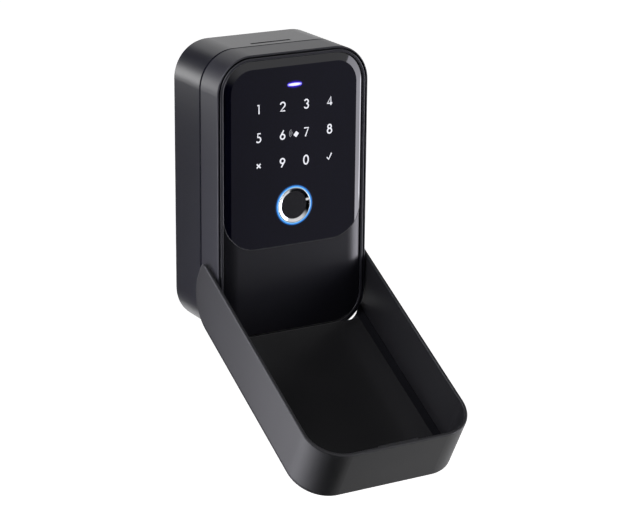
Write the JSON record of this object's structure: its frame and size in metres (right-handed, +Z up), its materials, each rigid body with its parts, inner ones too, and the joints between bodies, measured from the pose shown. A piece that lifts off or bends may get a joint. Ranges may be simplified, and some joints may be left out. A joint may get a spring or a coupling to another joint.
{
  "type": "fingerprint lock box",
  "caption": "Wall-mounted key lock box with a fingerprint and touch-key door and a tray-shaped weather cover that swings down from it.",
  "frame": {"origin": "centre of the four wall screw holes, on the back face that lies on the wall", "axes": "+X to the box's own right-hand side as seen from the front, -Y out of the wall towards the user, +Z up"},
  "size_m": [0.1014, 0.1717, 0.2187],
  "materials": {
    "housing_paint": "satin charcoal powder coat",
    "cover_plastic": "fine textured dark grey",
    "bezel_paint": "satin charcoal",
    "black_glass": "gloss black touch panel",
    "black_plastic": "matt black moulded",
    "liner_film": "gloss black sheet",
    "seal_rubber": "matt",
    "zinc_steel": "zinc plated",
    "steel_pin": "ground",
    "nickel_strip": "nickel plated strip",
    "bright_chrome": "polished",
    "ring_light": "lit blue diffuser",
    "bar_light": "lit white diffuser",
    "sensor_black": "coated sensor face",
    "board_green": "solder resist",
    "chip_black": "moulded",
    "motor_steel": "drawn can",
    "latch_zinc": "die-cast zinc",
    "nylon_black": "matt black nylon",
    "cell_wrap": "shrunk PVC sleeve, unmarked"
  },
  "bodies": {
    "housing": {"rear_housing": "housing_paint", "door_seal": "seal_rubber", "hinge_pin": "steel_pin", "strike_plate": "zinc_steel", "strike_screws": "zinc_steel", "hook_strip": "zinc_steel", "hook_screws": "zinc_steel"},
    "door": {"door_frame": "housing_paint", "front_bezel": "bezel_paint", "touch_panel": "black_glass", "lower_panel": "black_plastic", "led_bar": "bar_light", "reader_module": "chip_black", "led_ring": "ring_light", "chrome_ring": "bright_chrome", "sensor_disc": "sensor_black", "main_board": "board_green", "board_parts": "chip_black", "board_screws": "zinc_steel", "door_back_plate": "black_plastic", "plate_screws": "zinc_steel", "gear_motor": "motor_steel", "motor_clamp": "zinc_steel", "clamp_screws": "zinc_steel", "battery_tray": "black_plastic", "aaa_cell_1": "cell_wrap", "aaa_cell_2": "cell_wrap", "aaa_cell_3": "cell_wrap", "aaa_cell_4": "cell_wrap", "contact_plates": "nickel_strip", "contact_springs": "nickel_strip", "battery_lid": "black_plastic", "battery_lid_screw": "zinc_steel", "usb_port": "zinc_steel", "cover_bushes": "nylon_black"},
    "cover": {"weather_cover": "cover_plastic", "cover_liner": "liner_film"},
    "latch": {"latch_bolt": "latch_zinc"},
    "screw": {"lead_screw": "steel_pin"}
  },
  "joints": [
    {"name": "door_hinge", "type": "hinge", "parent": "housing", "child": "door", "pos_m": [0, -0.032, -0.0851], "axis": [1, 0, 0], "range_deg": [0, 80]},
    {"name": "cover_hinge", "type": "hinge", "parent": "door", "child": "cover", "pos_m": [0, -0.04082, -0.05474], "axis": [1, 0, 0], "range_deg": [-118.75, 0]},
    {"name": "latch_slide", "type": "slide", "parent": "door", "child": "latch", "axis": [0, 0, 1], "range_m": [0, 0.005]},
    {"name": "screw_spin", "type": "hinge", "parent": "door", "child": "screw", "pos_m": [0, -0.0402, 0.0325], "axis": [0, 0, 1], "range_deg": [0, 720.5]}
  ],
  "couplings": [
    {"joint": "screw_spin", "follows": "latch_slide", "rad_per_m": 2513.3}
  ]
}
